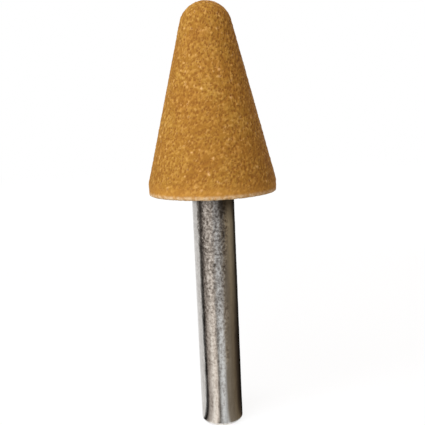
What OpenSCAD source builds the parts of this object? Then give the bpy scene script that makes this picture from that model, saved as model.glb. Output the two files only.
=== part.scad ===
// Mounted point: a tapered abrasive stone with a rounded nose, cemented on a plain steel shank.
// The shank stands on its end face at z = 0, and the stone's nose points up along +Z.

/* [Stone] */
// Diameter of the stone at its base
head_d = 19.05; // [13:0.05:38]
// Length of the stone from its base to its nose
head_len = 28; // [22:0.5:60]
// Radius of the rounded nose
nose_r = 3.9; // [1.5:0.1:5.5]
// Height of the straight band above the base
land_h = 1.8; // [0.8:0.1:5]
// Radius that breaks the edge of the base
base_edge_r = 0.3; // [0.1:0.05:0.6]

/* [Shank] */
// Diameter of the shank, as the collet grips it
shank_d = 6.35; // [5:0.05:8]
// Length of the shank below the stone
shank_len = 36; // [15:0.5:80]
// Radius of the rounded edge at the shank's free end
shank_end_r = 0.8; // [0.2:0.1:1.2]

/* [Mounting] */
// Length of shank buried in the stone
bury_len = 13; // [9:0.5:16]
// Thickness of the cement around the shank
cement_gap = 0.4; // [0.2:0.05:0.8]
// Thickness of the cement above the shank's inner end
cement_floor = 0.8; // [0.3:0.1:2]
// Depth of the cement's face inside the stone's base
cement_recess = 0.25; // [0.05:0.05:0.6]
// Width of the ring groove at the stone's base, which locks the shank against pulling out
ring_groove_w = 1.2; // [0.7:0.1:2]
// Depth of the ring groove
ring_groove_depth = 0.45; // [0.2:0.05:0.8]
// Number of flutes that lock the shank against turning
flute_count = 18; // [8:1:20]
// Depth of a flute
flute_depth = 0.35; // [0.15:0.05:0.38]
// Distance of the flutes from the ring groove
flute_inset = 1.5; // [0.5:0.1:3]
// Chamfer on the shank's inner end
inner_chamfer = 0.5; // [0.4:0.1:1]

/* [Hidden] */
$fn = 128;

// How far a cutting tool reaches past the face it cuts
cut_over = 1;

head_r = head_d / 2;
shank_r = shank_d / 2;
shank_top = shank_len + bury_len;

// The cone runs from the top of the band to where it is tangent to the nose
nose_z = head_len - nose_r;
cone_reach = nose_z - land_h;
cone_angle = acos(nose_r / norm([head_r, cone_reach])) - atan2(cone_reach, head_r);
tangent_r = nose_r * cos(cone_angle);
tangent_z = nose_z + nose_r * sin(cone_angle);

socket_r = shank_r + cement_gap;
socket_depth = bury_len + cement_floor;

flute_z = shank_len + ring_groove_w + flute_inset;

stone_colour = "#C28A3C";
steel_colour = "#A8A5A0";
cement_colour = "#D6CDBB";

// Half section of the stone, with its base on the X axis
module head_profile() {
    intersection() {
        union() {
            square([head_r - base_edge_r, land_h]);
            translate([0, base_edge_r]) square([head_r, land_h - base_edge_r]);
            translate([head_r - base_edge_r, base_edge_r]) circle(r = base_edge_r);
            polygon([[0, land_h], [head_r, land_h], [tangent_r, tangent_z], [0, tangent_z]]);
            translate([0, nose_z]) circle(r = nose_r);
        }
        square([head_r, head_len]);
    }
}

// Half section of the shank: rounded free end, ring groove, chamfered inner end
module shank_profile() {
    chamfer_z = shank_top - inner_chamfer;
    difference() {
        union() {
            square([shank_r - shank_end_r, shank_end_r]);
            translate([shank_r - shank_end_r, shank_end_r]) circle(r = shank_end_r);
            translate([0, shank_end_r]) square([shank_r, chamfer_z - shank_end_r]);
            polygon([[0, chamfer_z], [shank_r, chamfer_z], [shank_r - inner_chamfer, shank_top], [0, shank_top]]);
        }
        translate([shank_r - ring_groove_depth, shank_len]) square([ring_groove_depth + cut_over, ring_groove_w]);
    }
}

// V-shaped flutes around the shank's inner end
module key_flutes() {
    for (i = [0 : flute_count - 1])
        rotate([0, 0, i * 360 / flute_count])
            translate([shank_r, 0, flute_z])
                cylinder(r = flute_depth, h = shank_top - flute_z + cut_over, $fn = 4);
}

module shank_body() {
    difference() {
        rotate_extrude() shank_profile();
        key_flutes();
    }
}

module abrasive_head() {
    color(stone_colour)
        translate([0, 0, shank_len])
            difference() {
                rotate_extrude() head_profile();
                translate([0, 0, -cut_over]) cylinder(r = socket_r, h = socket_depth + cut_over);
            }
}

module shank() {
    color(steel_colour) shank_body();
}

// The cement fills the socket around the shank, its grooves and flutes
module mounting_cement() {
    color(cement_colour)
        difference() {
            translate([0, 0, shank_len + cement_recess]) cylinder(r = socket_r, h = socket_depth - cement_recess);
            shank_body();
        }
}

abrasive_head();
shank();
mounting_cement();
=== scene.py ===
import math

import bmesh
import bpy
from mathutils import Matrix, Vector, noise


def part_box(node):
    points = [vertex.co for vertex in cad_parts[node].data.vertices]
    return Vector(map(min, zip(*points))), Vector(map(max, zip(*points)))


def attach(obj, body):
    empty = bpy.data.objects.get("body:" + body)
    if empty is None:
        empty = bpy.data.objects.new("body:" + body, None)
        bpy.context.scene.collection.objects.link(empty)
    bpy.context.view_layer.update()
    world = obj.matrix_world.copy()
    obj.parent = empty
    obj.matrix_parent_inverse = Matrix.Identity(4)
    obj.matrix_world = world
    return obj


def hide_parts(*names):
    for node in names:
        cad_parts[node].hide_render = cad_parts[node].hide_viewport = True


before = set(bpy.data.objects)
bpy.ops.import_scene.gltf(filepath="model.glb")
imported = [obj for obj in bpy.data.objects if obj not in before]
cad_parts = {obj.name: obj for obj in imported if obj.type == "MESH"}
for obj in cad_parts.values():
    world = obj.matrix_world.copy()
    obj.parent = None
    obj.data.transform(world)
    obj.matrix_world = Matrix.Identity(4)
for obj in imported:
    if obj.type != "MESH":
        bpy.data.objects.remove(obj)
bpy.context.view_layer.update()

# Stone
# Fused alumina grit in a fired clay bond, pressed as a cone with a rounded nose and fired as one piece.
# A diamond trues the short straight band at the base, so the band is smoother and cleaner than the cone.
# The base has a blind socket for the shank, and its rounded outer edge carries a pale painted highlight.
MM = 0.001
stone_low, stone_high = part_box("abrasive_head")
stone_r = stone_high.x
base_z = stone_low.z
tip_z = stone_high.z
nose_r = 3.9 * MM
band_h = 1.8 * MM
edge_r = 0.3 * MM
socket_r = 3.575 * MM
socket_h = 13.8 * MM

# The skin has fine rows outside, wider rings on the base and long faces in the hidden socket.
row_h = 0.16 * MM
base_ring_w = 0.24 * MM
socket_row_h = 4.6 * MM
spin_steps = 420
fewest_arc_steps = 3
merge_gap = 0.0001 * MM


def draw_to(bm, vert, x, z, step):
    """Draws a straight stretch of a half section to a point, in even steps."""
    start, end = vert.co.copy(), Vector((x, 0, z))
    steps = max(1, round((end - start).length / step))
    for i in range(steps):
        vert = bmesh.ops.extrude_vert_indiv(bm, verts=[vert])["verts"][0]
        vert.co = start.lerp(end, (i + 1) / steps)
    return vert


def draw_arc(bm, vert, x, z, angle, step):
    """Draws a round stretch of a half section about a centre, from below to above."""
    steps = max(fewest_arc_steps, round((vert.co - Vector((x, 0, z))).length * angle / step))
    arc = bmesh.ops.spin(bm, geom=[vert], cent=(x, 0, z), axis=(0, -1, 0), angle=angle, steps=steps)
    return next(g for g in arc["geom_last"] if isinstance(g, bmesh.types.BMVert))


def turn_round(bm, steps):
    """Turns a half section about the tool's axis into a closed skin with its faces outwards."""
    section = bm.verts[:] + bm.edges[:]
    bmesh.ops.spin(bm, geom=section, cent=(0, 0, 0), axis=(0, 0, 1), angle=math.tau, steps=steps,
                   use_merge=True)
    bmesh.ops.remove_doubles(bm, verts=bm.verts[:], dist=merge_gap)
    bmesh.ops.recalc_face_normals(bm, faces=bm.faces[:])


# The cone's slope is the one at which the nose runs into it with no edge.
quarter = math.pi / 2
nose_z = tip_z - nose_r
cone_reach = nose_z - base_z - band_h
cone_angle = math.acos(nose_r / math.hypot(stone_r, cone_reach)) - math.atan2(cone_reach, stone_r)
tangent_x = nose_r * math.cos(cone_angle)
tangent_z = nose_z + nose_r * math.sin(cone_angle)

bm = bmesh.new()
point = bm.verts.new((0, 0, base_z + socket_h))
point = draw_to(bm, point, socket_r, base_z + socket_h, socket_r)
point = draw_to(bm, point, socket_r, base_z, socket_row_h)
point = draw_to(bm, point, stone_r - edge_r, base_z, base_ring_w)
point = draw_arc(bm, point, stone_r - edge_r, base_z + edge_r, quarter, row_h)
point = draw_to(bm, point, stone_r, base_z + band_h, row_h)
point = draw_to(bm, point, tangent_x, tangent_z, row_h)
draw_arc(bm, point, 0, nose_z, quarter - cone_angle, row_h)
turn_round(bm, spin_steps)

# Each grain is a cell with a tone of its own that stands out of the bond. Some grains have fallen out
# and left a pore. The crown's reach and the bond's gap are in grains, and the other plain numbers are
# shares. The two draws pick each grain's tone and which grains are gone.
grit = 0.35 * MM
grit_relief = 0.06 * MM
pore_depth = 0.07 * MM
pore_share = 0.1
band_relief = 0.6
crown_reach = 0.62
bond_gap = 0.35
bond_shade = 0.35
lowest_crown = 0.45
standing_share = 0.75
edge_highlit_w = 0.18 * MM
tone_draw = 7.31
pore_draw = Vector((31.7, 5.3, 11.9))
tone_layer = bm.verts.layers.float.new("tone")
pore_layer = bm.verts.layers.float.new("pore")
edge_highlight_layer = bm.verts.layers.float.new("edge_highlight")
bm.normal_update()
offsets = {}
for vert in bm.verts:
    radius = math.hypot(vert.co.x, vert.co.y)
    if radius < socket_r + row_h and vert.co.z < base_z + socket_h + row_h:
        continue
    distances, centres = noise.voronoi(vert.co / grit)
    seed = centres[0] * tone_draw
    tone = noise.cell(seed)
    fallen = noise.cell(seed + pore_draw) < pore_share
    crown = max(0.0, 1.0 - (distances[0] / crown_reach) ** 2)
    inside = min(1.0, (distances[1] - distances[0]) / bond_gap)
    if fallen:
        sink = pore_depth * inside + grit_relief
        vert[pore_layer] = inside
    else:
        sink = grit_relief * (1.0 - crown * (lowest_crown + (1.0 - lowest_crown) * tone))
        vert[pore_layer] = bond_shade * (1.0 - inside)
    # Painted highlight: the rounded base edge and a thin strip beside it are marked here and painted cream in
    # the material.
    from_edge = math.hypot(radius - stone_r + edge_r, vert.co.z - base_z - edge_r) - edge_r
    vert[edge_highlight_layer] = max(0.0, 1.0 - max(0.0, from_edge) / edge_highlit_w)
    vert[tone_layer] = tone
    relief = band_relief if vert.co.z < base_z + band_h else 1.0
    offsets[vert] = vert.normal * (standing_share * grit_relief - sink) * relief
for vert, offset in offsets.items():
    vert.co += offset


def srgb(code):
    """A hex colour as it looks on a screen, turned into the linear values that shaders use."""
    parts = [int(code[i:i + 2], 16) / 255 for i in (1, 3, 5)]
    return [p / 12.92 if p <= 0.04045 else ((p + 0.055) / 1.055) ** 2.4 for p in parts] + [1.0]


def add(tree, kind, inputs, stops=(), **settings):
    """Adds a shader node with its settings, its inputs' values or links, and a colour ramp's stops."""
    node = tree.nodes.new("ShaderNode" + kind)
    for name, value in settings.items():
        setattr(node, name, value)
    for name, value in inputs.items():
        if isinstance(value, bpy.types.NodeSocket):
            tree.links.new(value, node.inputs[name])
        else:
            node.inputs[name].default_value = value
    for i, (place, code) in enumerate(stops):
        elements = node.color_ramp.elements
        stop = elements[i] if i < len(elements) else elements.new(place)
        stop.position, stop.color = place, srgb(code)
    return node


def new_material(name):
    """Makes a material with no nodes yet, and gives it with its node tree."""
    material = bpy.data.materials.new(name)
    material.use_nodes = True
    material.node_tree.nodes.clear()
    return material, material.node_tree


# Fired grit is matt. Its bond is a golden brown, its grains run from brown to cream, its pores are dark,
# the trued band is a cleaner gold that is partly its own colour and partly painted light, the rounded base
# edge has a painted cream highlight, and a few broken grains glint. The specks are a little coarser than
# the grains, as clumps of grit are.
speck = 1.2 * grit
speck_share = 0.5
cloud = 4.0 * MM
highlight_break = 0.5 * MM
trued_from = 1.25 * band_h
trued_to = 0.6 * band_h
trued_share = 0.35
least_highlight, most_highlight = 0.25, 0.75
matt, glinting = 0.85, 0.55
pore_brown = srgb("#8A5A1E")
band_gold_and_light = srgb("#D69C44")
edge_highlight_cream = srgb("#E8D2AC")
stone_skin, tree = new_material("fired_alumina_grit")
place = add(tree, "TexCoord", {}).outputs["Object"]
height = add(tree, "SeparateXYZ", {"Vector": place}).outputs["Z"]
tone = add(tree, "Attribute", {}, attribute_name="tone").outputs["Fac"]
pore = add(tree, "Attribute", {}, attribute_name="pore").outputs["Fac"]
edge_highlight = add(tree, "Attribute", {}, attribute_name="edge_highlight").outputs["Fac"]
specks = add(tree, "TexVoronoi", {"Vector": place, "Scale": 1 / speck}).outputs["Color"]
speck_tone = add(tree, "SeparateColor", {"Color": specks}).outputs["Red"]
grain_tone = add(tree, "Mix", {"Factor": speck_share, "A": tone, "B": speck_tone}).outputs["Result"]
grains = add(tree, "ValToRGB", {"Fac": grain_tone},
             stops=[(0.05, "#A67A2C"), (0.35, "#B78C3B"), (0.6, "#C19647"), (0.8, "#CAA055"),
                    (0.92, "#D9B172")])
clouds = add(tree, "TexNoise", {"Vector": place, "Scale": 1 / cloud, "Detail": 3.0,
                                "Roughness": 0.6}).outputs["Fac"]
firing = add(tree, "ValToRGB", {"Fac": clouds}, stops=[(0.3, "#F0E2D5"), (0.7, "#FFFFFF")])
fired = add(tree, "Mix", {"Factor": 1.0, "A": grains.outputs["Color"], "B": firing.outputs["Color"]},
            data_type="RGBA", blend_type="MULTIPLY").outputs["Result"]
pitted = add(tree, "Mix", {"Factor": pore, "A": fired, "B": pore_brown}, data_type="RGBA").outputs["Result"]
# Painted light: the trued band's gold is lighter than the cone, partly for its cleaner skin and partly as
# painted light.
on_band = add(tree, "MapRange", {"Value": height, "From Min": base_z + trued_from,
                                 "From Max": base_z + trued_to,
                                 "To Min": 0.0, "To Max": trued_share}).outputs["Result"]
trued_and_lit = add(tree, "Mix", {"Factor": on_band, "A": pitted, "B": band_gold_and_light}, data_type="RGBA").outputs["Result"]
# The painted cream highlight on the base edge is broken up in patches.
highlight_breaks = add(tree, "TexNoise", {"Vector": place, "Scale": 1 / highlight_break, "Detail": 2.0}).outputs["Fac"]
highlight_broken = add(tree, "MapRange", {"Value": highlight_breaks, "From Min": 0.4, "From Max": 0.62,
                                "To Min": least_highlight, "To Max": most_highlight}).outputs["Result"]
edge_highlit = add(tree, "Math", {0: highlight_broken, 1: edge_highlight}, operation="MULTIPLY").outputs[0]
edge_highlighted = add(tree, "Mix", {"Factor": edge_highlit, "A": trued_and_lit, "B": edge_highlight_cream}, data_type="RGBA").outputs["Result"]
glint = add(tree, "MapRange", {"Value": tone, "From Min": 0.9, "From Max": 0.95,
                               "To Min": matt, "To Max": glinting}).outputs["Result"]
surface = add(tree, "BsdfPrincipled", {"Base Color": edge_highlighted, "Roughness": glint, "IOR": 1.6,
                                       "Specular IOR Level": 0.2})
add(tree, "OutputMaterial", {"Surface": surface.outputs["BSDF"]})


def new_piece(name, bm, material):
    """Makes a smooth mesh object from a bmesh, at the origin."""
    mesh = bpy.data.meshes.new(name)
    bm.to_mesh(mesh)
    bm.free()
    mesh.shade_smooth()
    mesh.materials.append(material)
    piece = bpy.data.objects.new(name, mesh)
    bpy.context.scene.collection.objects.link(piece)
    return piece


stone = new_piece("stone", bm, stone_skin)
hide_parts("abrasive_head")
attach(stone, "root")

# Cement
# A grey-white cement, poured into the stone's socket round the shank and left to set.
# Only a thin ring of it shows, just inside the base, and its shape is the one that the frame gives.
sand = 0.3 * MM

# Set cement is matt and sandy, in pale warm greys.
cement_skin, tree = new_material("set_cement")
place = add(tree, "TexCoord", {}).outputs["Object"]
grains = add(tree, "TexNoise", {"Vector": place, "Scale": 1 / sand, "Detail": 4.0}).outputs["Fac"]
sandy = add(tree, "ValToRGB", {"Fac": grains}, stops=[(0.3, "#B5AA96"), (0.7, "#DDD5C5")])
surface = add(tree, "BsdfPrincipled", {"Base Color": sandy.outputs["Color"], "Roughness": 0.9})
add(tree, "OutputMaterial", {"Surface": surface.outputs["BSDF"]})
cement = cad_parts["mounting_cement"]
cement.data.materials.clear()
cement.data.materials.append(cement_skin)

# Shank
# Bright drawn steel rod, cut to length and tumbled, so that the edge of its free end is rounded.
# A ring groove and V-shaped flutes on its inner end key it in the cement.
shank_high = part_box("shank")[1]
shank_r = shank_high.x
inner_z = shank_high.z
end_r = 0.8 * MM
groove_w = 1.2 * MM
groove_depth = 0.45 * MM
flute_inset = 1.5 * MM
flute_depth = 0.35 * MM
flute_count = 18
inner_chamfer = 0.5 * MM
columns_per_flute = 8
shank_row_h = 0.15 * MM
end_ring_w = 0.6 * MM
groove_r = shank_r - groove_depth
groove_top = base_z + groove_w
flute_z = groove_top + flute_inset
flute_pitch = math.tau / flute_count

bm = bmesh.new()
point = bm.verts.new((0, 0, 0))
point = draw_to(bm, point, shank_r - end_r, 0, end_ring_w)
point = draw_arc(bm, point, shank_r - end_r, end_r, quarter, shank_row_h)
point = draw_to(bm, point, shank_r, base_z, shank_row_h)
point = draw_to(bm, point, groove_r, base_z, groove_depth)
point = draw_to(bm, point, groove_r, groove_top, groove_w)
point = draw_to(bm, point, shank_r, groove_top, groove_depth)
point = draw_to(bm, point, shank_r, flute_z, flute_inset)
point = draw_to(bm, point, shank_r, flute_z + shank_row_h, shank_row_h)
point = draw_to(bm, point, shank_r, inner_z - inner_chamfer, inner_z)
point = draw_to(bm, point, shank_r - inner_chamfer, inner_z, inner_chamfer)
draw_to(bm, point, 0, inner_z, shank_r)
turn_round(bm, flute_count * columns_per_flute)

# The flutes are pressed into the inner end, and the drawn skin below the stone has shallow dents, which
# are longer than wide and deepest under the stone. The middle of each end face stays flat.
dent = 0.45 * MM
dent_reach = 0.0175 * MM
dent_stretch = 2.5
dents_at_end = 0.4
dents_more_at_stone = 0.8
face_middle_r = shank_r / 2
pressed_from = flute_z + shank_row_h / 2
for vert in bm.verts:
    radius = math.hypot(vert.co.x, vert.co.y)
    if radius < face_middle_r:
        continue
    if vert.co.z > pressed_from:
        turn = math.atan2(vert.co.y, vert.co.x)
        off_centre = abs((turn + flute_pitch / 2) % flute_pitch - flute_pitch / 2)
        scale = min(1.0, (shank_r - flute_depth + off_centre * shank_r) / radius)
    elif end_r / 2 < vert.co.z < base_z:
        spot = Vector((vert.co.x, vert.co.y, vert.co.z / dent_stretch)) / dent
        share = dents_at_end + dents_more_at_stone * (vert.co.z / base_z) ** 2
        scale = 1.0 + dent_reach * share * noise.noise(spot) / radius
    else:
        continue
    vert.co.x *= scale
    vert.co.y *= scale

# Drawn steel is bright and streaked along the rod. Two sides are etched in fine blots, most of all near
# the stone, and the sides between them are rubbed bright. The etching has painted shade towards the stone
# and a painted reflection towards the free end, and a dark painted shade of the stone collars the rod
# under the stone, longest on one side. Real blots and streaks are finer, and are drawn as coarse as they
# need to be to show.
blot = 0.44 * MM
blot_relief = 0.09 * MM
streak_w = 0.5 * MM
streak_aspect = 0.18
patch = 1.5 * MM
wander_w = 1.5 * MM
blots_from = 0.1 * base_z
blots_full = 0.7 * base_z
pits_full = 0.8 * base_z
fewest_blots, most_blots = 0.35, 0.9
reflection_pale_at_end, shade_dark_at_stone = 0.11, -0.07
lean_at_end, lean_at_stone = 0.3 * MM, -0.7 * MM
right_stain_end, right_bright_from = 0.8 * MM, 1.3 * MM
left_stain_end, left_bright_from = -1.6 * MM, -2.2 * MM
right_stain_kept, left_stain_kept = 0.1, 0.25
shallow_pits = 0.15
polished, dull = 0.08, 0.2
stone_shade_h = 4.5 * MM
stone_shade_full_h = stone_shade_h / 3
stone_shade_side_from, stone_shade_side_full = 0.3 * MM, 1.1 * MM
stone_shade_elsewhere, stone_shade_share = 0.15, 0.95
shade_collar_h = 1.7 * MM
shade_collar_full_h = shade_collar_h / 2
shade_collar_share = 0.7
stone_shade_brown = srgb("#4C453E")
steel_skin, tree = new_material("drawn_steel")
place = add(tree, "TexCoord", {}).outputs["Object"]
axes = add(tree, "SeparateXYZ", {"Vector": place}).outputs
along = add(tree, "Mapping", {"Vector": place, "Scale": (1.0, 1.0, streak_aspect)}).outputs["Vector"]
streaks = add(tree, "TexNoise", {"Vector": along, "Scale": 1 / streak_w, "Detail": 3.0,
                                 "Roughness": 0.6}).outputs["Fac"]
blots = add(tree, "TexNoise", {"Vector": place, "Scale": 1 / blot, "Detail": 2.0,
                               "Roughness": 0.6}).outputs["Fac"]
blot_share = add(tree, "MapRange", {"Value": axes["Z"], "From Min": blots_from, "From Max": blots_full,
                                    "To Min": fewest_blots, "To Max": most_blots}).outputs["Result"]
mottle = add(tree, "Mix", {"Factor": blot_share, "A": streaks, "B": blots}).outputs["Result"]
# Painted shade and reflection: the etching is painted darker towards the stone and paler towards the free
# end.
shade_and_reflection_up = add(tree, "MapRange", {"Value": axes["Z"], "From Min": 0.0, "From Max": base_z,
                                   "To Min": reflection_pale_at_end, "To Max": shade_dark_at_stone}).outputs["Result"]
etching_and_painted_light = add(tree, "Math", {0: mottle, 1: shade_and_reflection_up}, operation="ADD").outputs[0]
etched_and_painted_light = add(tree, "ValToRGB", {"Fac": etching_and_painted_light},
             stops=[(0.31, "#6A645D"), (0.43, "#A49D96"), (0.52, "#C6C0B9"), (0.64, "#E6E2DC")])
bright = add(tree, "ValToRGB", {"Fac": streaks}, stops=[(0.3, "#B4B1AD"), (0.7, "#C5C3C0")])
patches = add(tree, "TexNoise", {"Vector": along, "Scale": 1 / patch, "Detail": 2.0}).outputs["Fac"]
wander = add(tree, "MapRange", {"Value": patches, "From Min": 0.0, "From Max": 1.0,
                                "To Min": -wander_w, "To Max": wander_w}).outputs["Result"]
across = add(tree, "Math", {0: axes["X"], 1: wander}, operation="ADD").outputs[0]
lean = add(tree, "MapRange", {"Value": axes["Z"], "From Min": 0.0, "From Max": base_z,
                              "To Min": lean_at_end, "To Max": lean_at_stone}).outputs["Result"]
leaning = add(tree, "Math", {0: across, 1: lean}, operation="ADD").outputs[0]
to_right = add(tree, "MapRange", {"Value": leaning, "From Min": right_stain_end,
                                  "From Max": right_bright_from,
                                  "To Min": 1.0, "To Max": right_stain_kept}).outputs["Result"]
to_left = add(tree, "MapRange", {"Value": across, "From Min": left_stain_end, "From Max": left_bright_from,
                                 "To Min": 1.0, "To Max": left_stain_kept}).outputs["Result"]
stained = add(tree, "Math", {0: to_right, 1: to_left}, operation="MINIMUM").outputs[0]
steel = add(tree, "Mix", {"Factor": stained, "A": bright.outputs["Color"], "B": etched_and_painted_light.outputs["Color"]},
            data_type="RGBA").outputs["Result"]
# Painted shade of the stone: a dark band under it that reaches furthest on one side, and a thin dark collar
# all round.
under_stone = add(tree, "MapRange", {"Value": axes["Z"], "From Min": base_z - stone_shade_h,
                                     "From Max": base_z - stone_shade_full_h,
                                     "To Min": 0.0, "To Max": stone_shade_share}).outputs["Result"]
shaded_side = add(tree, "MapRange", {"Value": across, "From Min": stone_shade_side_from,
                                      "From Max": stone_shade_side_full,
                                      "To Min": stone_shade_elsewhere, "To Max": 1.0}).outputs["Result"]
one_side = add(tree, "Math", {0: under_stone, 1: shaded_side}, operation="MULTIPLY").outputs[0]
shade_collar = add(tree, "MapRange", {"Value": axes["Z"], "From Min": base_z - shade_collar_h,
                                "From Max": base_z - shade_collar_full_h,
                                "To Min": 0.0, "To Max": shade_collar_share}).outputs["Result"]
stone_shade = add(tree, "Math", {0: one_side, 1: shade_collar}, operation="MAXIMUM").outputs[0]
stone_shaded = add(tree, "Mix", {"Factor": stone_shade, "A": steel, "B": stone_shade_brown},
              data_type="RGBA").outputs["Result"]
gloss = add(tree, "MapRange", {"Value": streaks, "From Min": 0.3, "From Max": 0.7,
                               "To Min": polished, "To Max": dull}).outputs["Result"]
deeper_up = add(tree, "MapRange", {"Value": axes["Z"], "From Min": blots_from, "From Max": pits_full,
                                   "To Min": shallow_pits, "To Max": 1.0}).outputs["Result"]
pitting = add(tree, "Math", {0: stained, 1: deeper_up}, operation="MULTIPLY").outputs[0]
pitted = add(tree, "Bump", {"Strength": pitting, "Distance": blot_relief,
                            "Height": mottle}).outputs["Normal"]
surface = add(tree, "BsdfPrincipled", {"Base Color": stone_shaded, "Metallic": 1.0, "Roughness": gloss,
                                       "Normal": pitted})
add(tree, "OutputMaterial", {"Surface": surface.outputs["BSDF"]})

shank = new_piece("shank_rod", bm, steel_skin)
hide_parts("shank")
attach(shank, "root")

# Floor and surround
# A sheet of pale paper lies under the tool, in a white room with dim, warm walls.
# The camera and shiny surfaces see the paper and the room as white, and the paper keeps the tool's shadow.
scene = bpy.context.scene
scene.view_settings.view_transform = "Standard"
ambient = 0.365
floor_half = 1.0
floor_glow = 0.7
glow_strength = 1.24
fade_from = 0.12
fade_to = 0.4


def seen_directly(tree):
    """Is 1 for a ray from the camera, or for one that a shiny or clear surface sends on."""
    rays = add(tree, "LightPath", {}).outputs
    direct = add(tree, "Math", {0: rays["Is Camera Ray"], 1: rays["Is Glossy Ray"]}, operation="MAXIMUM")
    any_of_them = add(tree, "Math", {0: direct.outputs[0], 1: rays["Is Transmission Ray"]},
                      operation="MAXIMUM")
    return any_of_them.outputs[0]


room = bpy.data.worlds.new("white_room")
room.use_nodes = True
scene.world = room
tree = room.node_tree
tree.nodes.clear()
dim = add(tree, "Background", {"Color": srgb("#FFD4B2"), "Strength": ambient}).outputs[0]
white = add(tree, "Background", {"Color": srgb("#FFFFFF"), "Strength": 1.0}).outputs[0]
walls = add(tree, "MixShader", {0: seen_directly(tree), 1: dim, 2: white}).outputs[0]
add(tree, "OutputWorld", {"Surface": walls})

# Paper is matt and pale. Near the tool its own grey and the glow give white together, it fades to plain
# white away from the tool, and it is clear to a camera below it.
paper_skin, tree = new_material("matt_paper")
place = add(tree, "TexCoord", {}).outputs["Object"]
away = add(tree, "VectorMath", {0: place}, operation="LENGTH").outputs["Value"]
glow_share = add(tree, "MapRange", {"Value": away, "From Min": fade_from, "From Max": fade_to,
                                    "To Min": floor_glow, "To Max": 1.0}).outputs["Result"]
paper = add(tree, "BsdfDiffuse", {"Color": srgb("#BCC4CC")}).outputs[0]
glow_level = add(tree, "MapRange", {"Value": away, "From Min": fade_from, "From Max": fade_to,
                                    "To Min": glow_strength, "To Max": 1.0}).outputs["Result"]
glow = add(tree, "Emission", {"Color": srgb("#FFFFFF"), "Strength": glow_level}).outputs[0]
share = add(tree, "Math", {0: seen_directly(tree), 1: glow_share}, operation="MULTIPLY").outputs[0]
lit = add(tree, "MixShader", {0: share, 1: paper, 2: glow}).outputs[0]
clear = add(tree, "BsdfTransparent", {}).outputs[0]
from_below = add(tree, "NewGeometry", {}).outputs["Backfacing"]
seen = add(tree, "MixShader", {0: from_below, 1: lit, 2: clear}).outputs[0]
add(tree, "OutputMaterial", {"Surface": seen})
bm = bmesh.new()
bmesh.ops.create_grid(bm, x_segments=1, y_segments=1, size=floor_half)
new_piece("floor", bm, paper_skin)

# Lights
# Two square soft boxes, aimed at the middle of the tool from above. The stronger one stands to the left
# of the camera, and the weaker one stands behind and keeps the back from going dark.


def soft_light(name, azimuth, elevation, distance, size, power):
    """A square soft light aimed at the middle of the tool, at angles seen from it."""
    lamp = bpy.data.lights.new(name, "AREA")
    lamp.size = size
    lamp.energy = power
    light = bpy.data.objects.new(name, lamp)
    side, lift = math.radians(azimuth), math.radians(elevation)
    towards = Vector((math.sin(side) * math.cos(lift), -math.cos(side) * math.cos(lift), math.sin(lift)))
    light.location = Vector((0, 0, tip_z / 2)) + towards * distance
    light.rotation_euler = towards.to_track_quat("Z", "Y").to_euler()
    scene.collection.objects.link(light)


soft_light("key", azimuth=-35, elevation=35, distance=0.35, size=0.3, power=1.4)
soft_light("fill", azimuth=165, elevation=25, distance=0.35, size=0.3, power=0.45)

# Reflector card
# A curved card that stands round the front of the shank and that only shiny surfaces see, as bright
# metal bars are photographed: pale in front, with a dark flag on each side. Its angles are in degrees
# and count from the camera's side, and so do the places of its bands.
card_r = 12 * MM
card_lift = 0.05 * MM
card_hole_r = 1.05 * shank_r
card_start, card_end = -89, 148
card_steps = 48
full_turn = 360
front_share = 0.25
bands_from = 0.3 * base_z
floor_bands = [(-89, "#A8A8A8"), (-79, "#2A2826"), (-70, "#302C2A"), (-62, "#B0A8A2"), (-48, "#C8C0BA"),
               (-36, "#FFFAF4"), (-22, "#FFF6EE"), (-9, "#67625C"), (4, "#DCE0E4"), (17, "#E6EAEE"),
               (32, "#9A9082"), (75, "#7C6E5A"), (96, "#483D32"), (118, "#231E19")]
stone_bands = [(-89, "#C4BEB8"), (-76, "#5A5652"), (-60, "#504A46"), (-46, "#E0DAD6"), (-16, "#E4DFDB"),
               (8, "#BCBEC2"), (46, "#6E665C"), (75, "#BAAA8E"), (98, "#9E9078"), (118, "#3A342C")]

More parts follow.
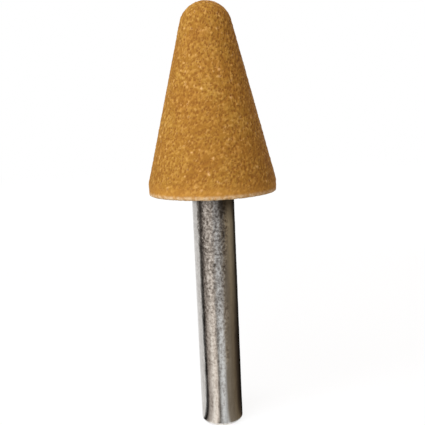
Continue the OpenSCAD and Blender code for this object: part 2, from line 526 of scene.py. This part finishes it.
# The card is not lit but glows evenly in soft bands, which are painted reflections for shiny surfaces and
# change from the floor up to the stone, with painted shade of the stone near its top. The gradient round
# the tool counts in full turns, and its front share is where the camera's side lies.
card_skin, tree = new_material("glowing_reflection_card")
place = add(tree, "TexCoord", {}).outputs["Object"]
height = add(tree, "SeparateXYZ", {"Vector": place}).outputs["Z"]
round_share = add(tree, "TexGradient", {"Vector": place}, gradient_type="RADIAL").outputs["Fac"]
low = add(tree, "ValToRGB", {"Fac": round_share},
          stops=[(front_share + turn / full_turn, code) for turn, code in floor_bands])
high = add(tree, "ValToRGB", {"Fac": round_share},
           stops=[(front_share + turn / full_turn, code) for turn, code in stone_bands])
rise = add(tree, "MapRange", {"Value": height, "From Min": bands_from, "From Max": base_z,
                              "To Min": 0.0, "To Max": 1.0}).outputs["Result"]
bands = add(tree, "Mix", {"Factor": rise, "A": low.outputs["Color"], "B": high.outputs["Color"]},
            data_type="RGBA").outputs["Result"]
paint = add(tree, "Emission", {"Color": bands, "Strength": 1.0}).outputs[0]
add(tree, "OutputMaterial", {"Surface": paint})

bm = bmesh.new()
point = bm.verts.new((card_hole_r, 0, card_lift))
point = draw_to(bm, point, card_r, card_lift, card_r)
draw_to(bm, point, card_r, base_z, base_z)
to_start = Matrix.Rotation(math.radians(card_start) - quarter, 3, "Z")
bmesh.ops.rotate(bm, verts=bm.verts[:], cent=(0, 0, 0), matrix=to_start)
sweep = math.radians(card_end - card_start)
section = bm.verts[:] + bm.edges[:]
bmesh.ops.spin(bm, geom=section, cent=(0, 0, 0), axis=(0, 0, 1), angle=sweep, steps=card_steps)
card = new_piece("reflector_card", bm, card_skin)
card.visible_camera = False
card.visible_diffuse = False
card.visible_shadow = False
card.visible_transmission = False

# Camera
# It stands close in front, level with the middle of the stone, and looks slightly down. It leans so that
# the nose tips to the left. Its focal length is given in pixels of the square picture, its angles in degrees.
picture = 425
focal_px = 755.6
sensor = 36.0
camera_back = 112.69 * MM
camera_lift = 14.77 * MM
camera_pan = 0.09
camera_dip = 9.017
camera_roll = -2.508
camera_data = bpy.data.cameras.new("camera")
camera_data.sensor_width = sensor
camera_data.lens = focal_px / picture * sensor
camera_data.clip_start = 10 * MM
camera = bpy.data.objects.new("camera", camera_data)
camera_place = Matrix.Translation((0, -camera_back, base_z + camera_lift))
pan = Matrix.Rotation(math.radians(camera_pan), 4, "Z")
dip = Matrix.Rotation(quarter - math.radians(camera_dip), 4, "X")
roll = Matrix.Rotation(math.radians(camera_roll), 4, "Z")
camera.matrix_world = camera_place @ pan @ dip @ roll
scene.collection.objects.link(camera)
scene.camera = camera
